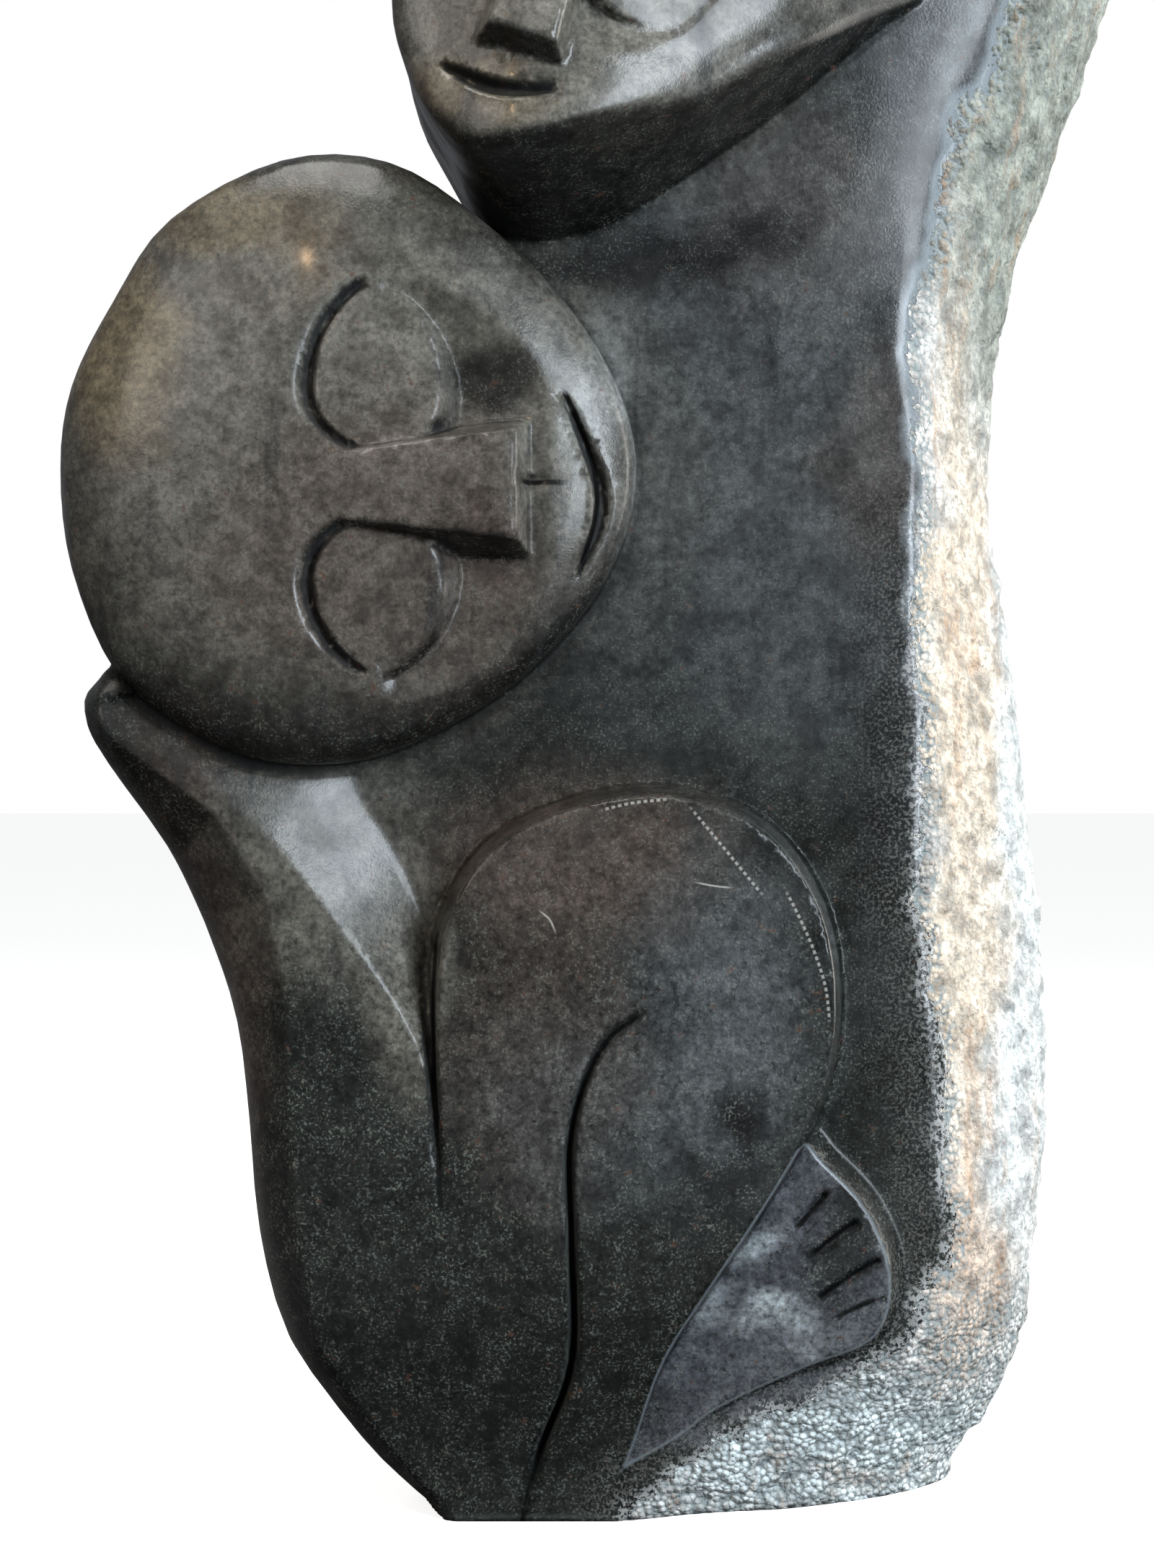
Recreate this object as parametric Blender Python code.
"""Stone mother and child: one boulder, carved on its front and left rough at its right side and back.

The two heads, the arm, the bent leg and the foot flow into one another without a joint, so the stone is
modelled as a carver works it. Each form is a distance field, negative inside the stone. The forms are
fused and cut on a grid of points, and OpenVDB, which Blender ships, turns the grid into a surface.

Frame: metres, +Z up, the carved front faces -Y. The origin is in the sawn flat underside.
"""

import math
from typing import NamedTuple

import bpy
import numpy as np
import openvdb

HEIGHT = 1.0  # underside to crown
UNIT = HEIGHT / 1000  # the figure's own measure: every size and place below is in thousandths of the height

STEP = 3.0  # spacing of the grid of points
TRIANGLES = 9400  # facets left in the finished solid
MARGIN = 10  # empty space kept round the stone in the grid

FRONT = 100  # the dressed front plane lies this far before the origin
STONE_DEPTH = 200  # front plane to back
WIDEST = 90  # the boulder is widest this far behind its front plane
BOW = 1.5  # how much the flank bows out on the way there
BACK_ROUND = 85
CREASE = 2.5  # how softly two forms meet
STEEPEST = 3.0  # slope of a carved wall

CHILD_RIM = 43  # all of these stand this far in front of the dressed plane
CHILD_DOME = 18
CHILD_BACK = 62
CHILD_DOME_REACH = 140  # the dome is flat this far in from the rim
CHILD_ROLL = (9, 44)  # drop at the rim, and how far in it starts
CHILD_TEMPLE = (-265, 55, 8)  # starts at this x, over this reach, to this drop
ARM_RISE = 26
ARM_SWELL = 6  # the arm thickens by this much where it meets the foot of the haunch
HAUNCH_RISE = 30
HAUNCH_DOME = 8
HAUNCH_DOME_REACH = 90
FOOT_RISE = 13
JAW_RISE = 92
JAW_ROLL = (3, 14)  # drop at the edge, and how far in it starts
CHIN_RISE = 0.12
RIGHT_SLOPE = (0.38, 10, 50)  # slope, start to the right of the nose, and the width it eases in over
LEFT_FALL = (22, 0, 70)  # drop, and where it starts and ends beside or above the nose
RIGHT_FALL = (22, 123, 213)
BROW_FALL = (26, 80, 200)
ARM_ROOT = 70  # how far a form reaches back into the block
FOOT_ROOT = 20
EDGE = 6  # roundings of the block's front edge, low down and at the shoulder
SHOULDER_EDGE = 26
SHOULDER = (560, 720)  # the rounding grows between these heights
SHOULDER_ROLL = (13, 95)  # drop at the edge, and how far in it starts
SHOULDER_START = (0, 60)  # the roll grows between these places, from the left
CHILD_EDGE = 8
CHILD_BACK_EDGE = 38
ARM_EDGE = 14
JAW_EDGE = 6
ARM_SIDE_SLOPE = 0.8
CHAMFER_SLOPE = 3.6
FOOT_SLOPE = 1.4
FOOTING_FALL = 34  # how far the carved front draws back towards the underside
FOOTING = (150, -10)  # between these heights
ARM_SWELL_HEIGHTS = (240, 150)
FOLD_WIDTH = 3.4
FOLD_SLOPE = 0.8
FOLD_DEPTH = 9
FOLD_CUT = (2.4, 0.6)
FOLD_START = 0.25  # share of the fold's size at its upper end
SEAM_WIDTH = 3
SEAM_DEPTH = 6

SOCKET_SHIFT = 10  # the eye's socket is the eye's own outline, moved this far up the face
SOCKET_SLOPE = 0.85
CREVICE = (4.5, 2.8)  # depth and half width of the groove round an eye
LID = (0.4, 1.6, 2)  # slope at the lower lid's edge, then a steeper one after this reach
END_BEVEL = (0.4, 4.5)  # slope and width of the bevel at the nose's end
EYE_DROP = 1.5
PHILTRUM_WIDTH = 5
MOUTH_DEPTH = 7
UPPER_LIP = 2.5
LOWER_LIP = 6
SOFTEST_LIP = 0.3  # share of the lips' width left at the corners
LIP_STEEPNESS = 1.7
CHEEK_REACH = 0.75
CHEEK_TOP = 12

STONE_COLOUR = (0.045, 0.050, 0.046, 1)
STONE_ROUGHNESS = 0.28

# Outlines are seen from the front, as (x, z).
DRESSED_FACE = (
    (172, 791), (150, 742), (137, 700), (126, 650), (117, 608), (122, 557), (121, 506), (125, 416),
    (124, 339), (130, 270), (136, 176), (137, 138), (118, 98), (67, 64), (0, 27), (-32, -4), (-50, -30),
    (-104, -30), (-131, 12), (-152, 50), (-180, 110), (-197, 190), (-205, 270), (-195, 360), (-160, 430),
    (-135, 490), (-112, 560), (-98, 640), (-114, 700), (-128, 745), (-136, 800), (-130, 870),
    (-95, 925), (-30, 962), (50, 972), (130, 955), (188, 915), (203, 860),
)  # fmt: skip
WIDEST_OUTLINE = (
    (240, 820), (221, 755), (200, 704), (183, 650), (175, 595), (173, 551), (176, 505), (187, 430),
    (196, 350), (203, 260), (203, 180), (197, 110), (184, 64), (169, 30), (152, 0), (146, -90),
    (-115, -90), (-150, 45), (-185, 105), (-205, 190), (-212, 270), (-205, 360), (-175, 430), (-148, 490),
    (-125, 560), (-105, 640), (-114, 700), (-130, 745), (-146, 800), (-150, 860), (-128, 930),
    (-70, 978), (20, 999), (110, 1000), (190, 983), (240, 940), (254, 880),
)  # fmt: skip
CHILD_HEAD = (
    (-321, 545), (-315, 587), (-293, 629), (-263, 671), (-206, 701), (-152, 700), (-105, 671),
    (-63, 630), (-34, 582), (-26, 535), (-42, 487), (-78, 444), (-119, 415), (-165, 396),
    (-214, 395), (-254, 411), (-291, 440), (-315, 494),
)  # fmt: skip
ARM = (
    (-303, 438), (-312, 421), (-300, 394), (-272, 351), (-250, 302), (-235, 259), (-228, 210),
    (-222, 154), (-207, 95), (-170, 38), (-143, 11), (-122, -6), (-100, -40), (-60, -40), (-70, 120),
    (-92, 240), (-105, 285), (-120, 334), (-144, 383), (-156, 440), (-250, 470),
)  # fmt: skip
ARM_CREST = (
    (-311, 424), (-282, 405), (-252, 389), (-213, 354), (-177, 310), (-138, 252), (-126, 190),
)  # fmt: skip
ARM_VALLEY = ((-185, 450), (-170, 383), (-159, 363), (-144, 334), (-129, 285), (-112, 230))
ARM_SIDE = (
    (-300, 412), (-240, 368), (-214, 325), (-206, 286), (-204, 228), (-198, 151), (-188, 95),
    (-160, 50), (-100, -30), (0, -30), (0, 470), (-300, 470),
)  # fmt: skip
HAUNCH = (
    (-123, 167), (-128, 258), (-121, 313), (-101, 348), (-61, 370), (-9, 377), (38, 360), (67, 320),
    (75, 268), (66, 219), (45, 179), (13, 130), (-12, 88), (-27, 42), (-40, 8), (-52, -30), (-95, -30),
    (-112, 60),
)  # fmt: skip
LEG_FOLD = (
    (-23, 268), (-41, 254), (-53, 231), (-60, 199), (-59, 150), (-59, 88), (-76, 36), (-86, -6),
)  # fmt: skip
SEAM = ((-129, 300), (-130, 258), (-128, 210), (-125, 165))
FOOT = (
    (55, 198), (71, 187), (93, 163), (105, 129), (97, 98), (61, 82), (18, 61), (-5, 44), (-34, 27),
    (-60, 8), (-50, 40), (-20, 110), (20, 160),
)  # fmt: skip
# The mother's jaw edge stands in front; her jaw's underside meets the body along the second outline.
MOTHER_FACE = (
    (-148, 772), (-140, 733), (-126, 708), (-104, 692), (-61, 699), (-5, 721), (18, 738), (41, 755),
    (66, 772), (84, 788), (104, 808), (114, 832), (112, 858), (98, 888), (64, 916), (17, 934),
    (-32, 934), (-77, 916), (-112, 884), (-133, 842),
)  # fmt: skip
MOTHER_ROOT = (
    (-142, 745), (-124, 711), (-105, 679), (-88, 667), (-62, 668), (-35, 677), (-2, 697), (49, 733),
    (94, 771), (130, 800), (144, 840), (130, 885), (88, 930), (25, 952), (-40, 950), (-95, 925),
    (-130, 880), (-146, 830), (-149, 785),
)  # fmt: skip


class Face(NamedTuple):
    """A carved face, in its own axes: across it, and up it from the lower end of the nose."""

    nose_end: tuple  # x, z
    lean: float  # degrees clockwise from upright
    eyes: tuple  # across, up, radius, reach of the outer corner
    nose: tuple  # half its width at the brow and at its end, length, rise
    mouth: tuple  # left corner, middle and right corner
    hollow: tuple  # centre across and up, half width and half height, depth
    philtrum: tuple  # across and up of its lower tip
    crest: float  # 1 for a crisp crest round the cheeks, more for a soft one


CHILD_FACE = Face(
    nose_end=(-86, 531),
    lean=-90,
    eyes=((50, 70, 31, 54), (-47, 70, 31, 46)),
    nose=(16, 27, 95, 16),
    mouth=((-44, -29), (-5, -41), (49, -22)),
    hollow=(25, 72, 81, 90, 25),
    philtrum=(3, -27),
    crest=1,
)
MOTHER_FACE_CARVING = Face(
    nose_end=(-83, 741),
    lean=17,
    eyes=((47, 58, 28, 44), (-38, 56, 26, 34)),
    nose=(12, 17, 90, 18),
    mouth=((-36, -19), (-5, -25), (22, -15)),
    hollow=(22, 66, 64, 60, 20),
    philtrum=(-8, -13),
    crest=1.3,
)


def smooth_loop(points, per_span=8):
    """A closed smooth curve through the points, as a Catmull-Rom spline."""
    through = np.array(points, float)
    before, here, after, beyond = (np.roll(through, turn, axis=0) for turn in (1, 0, -1, -2))
    t = np.linspace(0, 1, per_span, endpoint=False)[:, None, None]
    curve = 2 * here + (after - before) * t
    curve = curve + (2 * before - 5 * here + 4 * after - beyond) * t**2
    curve = curve + (3 * here - before - 3 * after + beyond) * t**3
    return curve.transpose(1, 0, 2).reshape(-1, 2) / 2


def smooth_path(points, per_span=8):
    """An open smooth curve through the points."""
    ends = [2 * np.subtract(points[0], 0) - points[1], 2 * np.subtract(points[-1], 0) - points[-2]]
    loop = smooth_loop([ends[0], *points, ends[1]], per_span)
    return loop[per_span : -2 * per_span + 1]


def inset(outline, x, z):
    """How far each point lies inside a closed outline; outside, it is negative."""
    nearest = np.full(np.broadcast_shapes(x.shape, z.shape), np.inf, np.float32)
    inside = np.zeros(nearest.shape, bool)
    for (ax, az), (bx, bz) in zip(outline, np.roll(outline, -1, axis=0)):
        ex, ez = bx - ax, bz - az
        share = np.clip(((x - ax) * ex + (z - az) * ez) / (ex * ex + ez * ez), 0, 1)
        nearest = np.minimum(nearest, (x - ax - share * ex) ** 2 + (z - az - share * ez) ** 2)
        if ez:
            inside ^= ((az > z) != (bz > z)) & (x < ax + (z - az) * ex / ez)
    return np.where(inside, 1, -1) * np.sqrt(nearest)


def along_path(path, x, z):
    """Distance to an open path, and how far along it the nearest point is, from 0 to 1."""
    nearest = np.full(np.broadcast_shapes(x.shape, z.shape), np.inf, np.float32)
    progress = np.zeros(nearest.shape, np.float32)
    spans = len(path) - 1
    for i, ((ax, az), (bx, bz)) in enumerate(zip(path[:-1], path[1:])):
        ex, ez = bx - ax, bz - az
        share = np.clip(((x - ax) * ex + (z - az) * ez) / (ex * ex + ez * ez), 0, 1)
        gap = (x - ax - share * ex) ** 2 + (z - az - share * ez) ** 2
        progress = np.where(gap < nearest, (i + share) / spans, progress)
        nearest = np.minimum(nearest, gap)
    return np.sqrt(nearest), progress


def smooth_min(a, b, softness):
    """The lower of two fields, rounded where they cross."""
    share = np.clip(0.5 + 0.5 * (b - a) / softness, 0, 1)
    return b + (a - b) * share - softness * share * (1 - share)


def smooth_max(a, b, softness):
    return -smooth_min(-a, -b, softness)


def ramp(value, start, end):
    """0 at start, 1 at end, with no corner at either."""
    share = np.clip((value - start) / (end - start), 0, 1)
    return share * share * (3 - 2 * share)


def rounded_corner(side, face, radius):
    """Two fields that meet at a right angle, with their edge turned to a radius."""
    side, face = side + radius, face + radius
    return (
        np.minimum(np.maximum(side, face), 0)
        + np.hypot(np.maximum(side, 0), np.maximum(face, 0))
        - radius
    )


def almond(along, off, radius, point):
    """How far each point lies inside a drop: round at its near end, pointed at along = point."""
    arc = (point**2 + radius**2) / (2 * radius)
    return np.where(
        along < 0,
        radius - np.hypot(along, off),
        arc - np.hypot(along, np.abs(off) + arc - radius),
    )


def relief(outline_inset, front, height, edge, root):
    """A form standing on the dressed plane: its height is a surface over (x, z), its edge rounded."""
    slope = np.hypot(*np.gradient(height[:, 0], STEP))
    face = (front - height) / np.hypot(1, np.minimum(slope, STEEPEST))[:, None]
    return np.maximum(rounded_corner(-outline_inset, face, edge), -front - root)


def carve_face(face, surface, x, z):
    """Cuts the hollows, eyes, nose, philtrum and mouth of a face into its surface."""
    turn = math.radians(face.lean)
    dx, dz = x - face.nose_end[0], z - face.nose_end[1]
    across = dx * math.cos(turn) - dz * math.sin(turn)
    up = dx * math.sin(turn) + dz * math.cos(turn)

    centre, level, half_width, half_height, depth = face.hollow
    round_cheek = np.hypot((np.abs(across) - centre) / half_width, (up - level) / half_height)
    share = np.clip((1 - round_cheek) / CHEEK_REACH, 0, 1) ** face.crest
    carved = surface - depth * share * ramp(up, level, level - CHEEK_TOP)

    for eye_across, eye_up, radius, point in face.eyes:
        outward = math.copysign(1, eye_across)
        along, off = (across - eye_across) * outward, up - eye_up
        socket = almond(along, off - SOCKET_SHIFT, radius, point)
        ball = almond(along, off, radius, point)
        carved = carved - SOCKET_SLOPE * np.clip(socket, 0, SOCKET_SHIFT)
        depth, width = CREVICE
        carved = carved - depth * np.clip(1 - np.abs(ball + width / 2) / width, 0, 1) * (socket > -1)
        edge, steep, reach = LID
        lid = np.where(off > 0, STEEPEST * ball, np.minimum(edge * ball, steep * (ball + reach)))
        carved = np.maximum(carved, surface - EYE_DROP + np.minimum(lid, 0))

    brow, end, length, rise = face.nose
    half_nose = end + (brow - end) * up / length
    nose = np.minimum(half_nose - np.abs(across), up)
    bevel_slope, bevel_width = END_BEVEL
    bevel = bevel_slope * np.clip(bevel_width - up, 0, bevel_width)
    ridge = surface + rise * np.clip(1 - up / length, -1, 1) - bevel
    carved = np.maximum(carved, ridge + STEEPEST * np.minimum(nose, 0))

    tip_across, tip_up = face.philtrum
    share = np.clip(up / tip_up, 0, 1)
    notch = PHILTRUM_WIDTH * (1 - share) - np.abs(across - tip_across)
    carved = carved - np.clip(notch, 0, None) * (up < 0)

    left, _, right = face.mouth
    path = smooth_path(face.mouth, 12)
    over_lip = up - np.interp(across, path[:, 0], path[:, 1])
    taper = 1 - ((2 * across - left[0] - right[0]) / (right[0] - left[0])) ** 2
    taper = np.clip(taper, 0, 1)
    width = np.where(over_lip > 0, UPPER_LIP, LOWER_LIP) * (SOFTEST_LIP + (1 - SOFTEST_LIP) * taper)
    groove = np.clip(LIP_STEEPNESS * (1 - np.abs(over_lip) / width), 0, 1)
    return carved - MOUTH_DEPTH * np.sqrt(taper) * groove


def boulder(x, front, z):
    """The block: a loft from the dressed face back to its widest outline, then rounded to the back."""
    dressed = inset(smooth_loop(DRESSED_FACE, 3), x, z)
    widest = inset(smooth_loop(WIDEST_OUTLINE, 3), x, z)
    share = 1 - (1 - np.clip(-front / WIDEST, 0, 1)) ** BOW
    side = -(dressed + (widest - dressed) * share)
    at_shoulder = ramp(z, *SHOULDER)
    drop, reach = SHOULDER_ROLL
    roll = drop * np.clip(1 - dressed / reach, 0, 1) ** 2 * at_shoulder * ramp(x, *SHOULDER_START)
    block = rounded_corner(side, front + roll, EDGE + (SHOULDER_EDGE - EDGE) * at_shoulder)
    return smooth_max(block, rounded_corner(side, -front - STONE_DEPTH, BACK_ROUND), CREASE)


def arm_height(x, z):
    """The mother's arm: an inner facet up from the body to a crest, and an outer one down to the side."""
    crest, valley = smooth_path(ARM_CREST, 4), smooth_path(ARM_VALLEY, 4)[::-1]
    to_crest, _ = along_path(crest, x, z)
    to_valley, _ = along_path(valley, x, z)
    inner = inset(np.vstack([crest, valley]), x, z) > 0
    share = np.where(inner, to_valley / (to_valley + to_crest + 1e-3), 1)
    past = x > np.interp(z, valley[:, 1], valley[:, 0])
    height = ARM_RISE * np.where(past & ~inner, -to_valley / ARM_RISE, share)
    within = inset(ARM_SIDE, x, z)
    swell = ARM_SWELL * ramp(z, *ARM_SWELL_HEIGHTS)
    return height + swell + ARM_SIDE_SLOPE * np.minimum(within, 0)


def haunch_height(outline_inset):
    """The drawn-up thigh: a shallow dome with a steep chamfer round it."""
    dome = HAUNCH_DOME * ramp(outline_inset, 0, HAUNCH_DOME_REACH)
    return HAUNCH_RISE + dome + CHAMFER_SLOPE * np.minimum(outline_inset, 0)


def lower_body(x, front, z):
    """The arm and haunch in one surface, cut by the leg's fold and by the seam between the two."""
    haunch = inset(smooth_loop(HAUNCH, 4), x, z)
    height = smooth_max(arm_height(x, z), haunch_height(haunch), CREASE)
    to_fold, progress = along_path(smooth_path(LEG_FOLD, 6), x, z)
    swell = FOLD_START + (1 - FOLD_START) * progress
    height = height - FOLD_SLOPE * np.clip(FOLD_WIDTH * swell - to_fold, 0, None)
    height = height - FOLD_DEPTH * swell * ramp(to_fold, *FOLD_CUT)
    to_seam, progress = along_path(smooth_path(SEAM, 6), x, z)
    height = height - SEAM_DEPTH * (1 - progress**2) * ramp(to_seam, SEAM_WIDTH, 0)
    outline = np.maximum(inset(smooth_loop(ARM, 3), x, z), haunch + ARM_EDGE)
    return relief(outline, front, height - footing(z), ARM_EDGE, ARM_ROOT)


def footing(z):
    return FOOTING_FALL * ramp(z, *FOOTING)


def foot(x, front, z):
    outline = inset(smooth_loop(FOOT, 4), x, z)
    height = FOOT_RISE + FOOT_SLOPE * np.minimum(outline, 0) - footing(z) / 2
    return relief(outline + FOOT_RISE, front, height, CREASE, FOOT_ROOT)


def child_head(x, front, z):
    outline = inset(smooth_loop(CHILD_HEAD, 4), x, z)
    surface = CHILD_RIM + CHILD_DOME * (1 - (1 - np.clip(outline / CHILD_DOME_REACH, 0, 1)) ** 2)
    drop, reach = CHILD_ROLL
    surface = surface - drop * np.clip(1 - outline / reach, 0, 1) ** 2
    start, reach, drop = CHILD_TEMPLE
    surface = surface - drop * np.clip((start - x) / reach, 0, 1) ** 2
    head = relief(outline, front, carve_face(CHILD_FACE, surface, x, z), CHILD_EDGE, CHILD_BACK)
    return np.maximum(head, rounded_corner(-outline, -front - CHILD_BACK, CHILD_BACK_EDGE))


def mother_head(x, front, z):
    face = inset(smooth_loop(MOTHER_FACE, 4), x, z)
    root = inset(smooth_loop(MOTHER_ROOT, 4), x, z)
    outline = root + (face - root) * np.clip(front / JAW_RISE, 0, 1)
    nose_x, nose_z = MOTHER_FACE_CARVING.nose_end
    surface = JAW_RISE - fall(nose_x - x, LEFT_FALL) - fall(x - nose_x, RIGHT_FALL)
    surface = surface - fall(z - nose_z, BROW_FALL)
    drop, reach = JAW_ROLL
    surface = surface - drop * np.clip(1 - face / reach, 0, 1) ** 2
    slope, start, ease = RIGHT_SLOPE
    past = np.clip(x - nose_x - start, 0, None)
    surface = surface - slope * (past - ease / 2 + np.clip(ease - past, 0, None) ** 2 / (2 * ease))
    surface = surface + CHIN_RISE * np.clip(nose_z - z, 0, None)
    return relief(outline, front, carve_face(MOTHER_FACE_CARVING, surface, x, z), JAW_EDGE, ARM_ROOT)


def fall(away, amount):
    """From nothing to the first value as the distance goes from the second value to the third."""
    drop, start, end = amount
    return drop * ramp(away, start, end)


def carved_field(x, front, z):
    """The whole stone, standing on its sawn underside."""
    field = boulder(x, front, z)
    for form in (lower_body, foot, child_head, mother_head):
        field = smooth_min(field, form(x, front, z), CREASE)
    return np.maximum(field, -z)


def stone_mesh():
    """The surface of the field as a mesh, in metres."""
    outlines = np.vstack([WIDEST_OUTLINE, ARM, CHILD_HEAD, MOTHER_FACE, MOTHER_ROOT])
    left, _ = outlines.min(axis=0) - MARGIN
    right, top = outlines.max(axis=0) + MARGIN
    nearest = FRONT + JAW_RISE + MOTHER_FACE_CARVING.nose[-1] + MARGIN
    low = (left, -nearest, -MARGIN)
    high = (right, STONE_DEPTH - FRONT + MARGIN, top)
    x, y, z = np.ix_(*(np.arange(*ends, STEP, dtype=np.float32) for ends in zip(low, high)))
    field = carved_field(x, -y - FRONT, z)
    grid = openvdb.FloatGrid(background=float(field.max()))
    grid.copyFromArray(np.ascontiguousarray(field, np.float32))
    points, quads = grid.convertToQuads(isovalue=0.0)
    points = (points * STEP + low) * UNIT
    mesh = bpy.data.meshes.new("mother_and_child")
    mesh.from_pydata(points, [], quads)
    return mesh


def stone_material():
    material = bpy.data.materials.new("stone")
    material.use_nodes = True
    shader = material.node_tree.nodes["Principled BSDF"]
    shader.inputs["Base Color"].default_value = STONE_COLOUR
    shader.inputs["Roughness"].default_value = STONE_ROUGHNESS
    return material


def main():
    for obj in list(bpy.data.objects):
        bpy.data.objects.remove(obj)
    collection = bpy.data.collections.new("stone_mother_and_child")
    bpy.context.scene.collection.children.link(collection)

    mesh = stone_mesh()
    mesh.materials.append(stone_material())
    mesh.shade_smooth()
    mesh.set_sharp_from_angle(angle=math.radians(40))
    stone = bpy.data.objects.new("mother_and_child", mesh)
    collection.objects.link(stone)
    facets = sum(len(face.vertices) - 2 for face in mesh.polygons)
    thin = stone.modifiers.new("Decimate", "DECIMATE")
    thin.ratio = TRIANGLES / facets
    thin.use_collapse_triangulate = True


main()
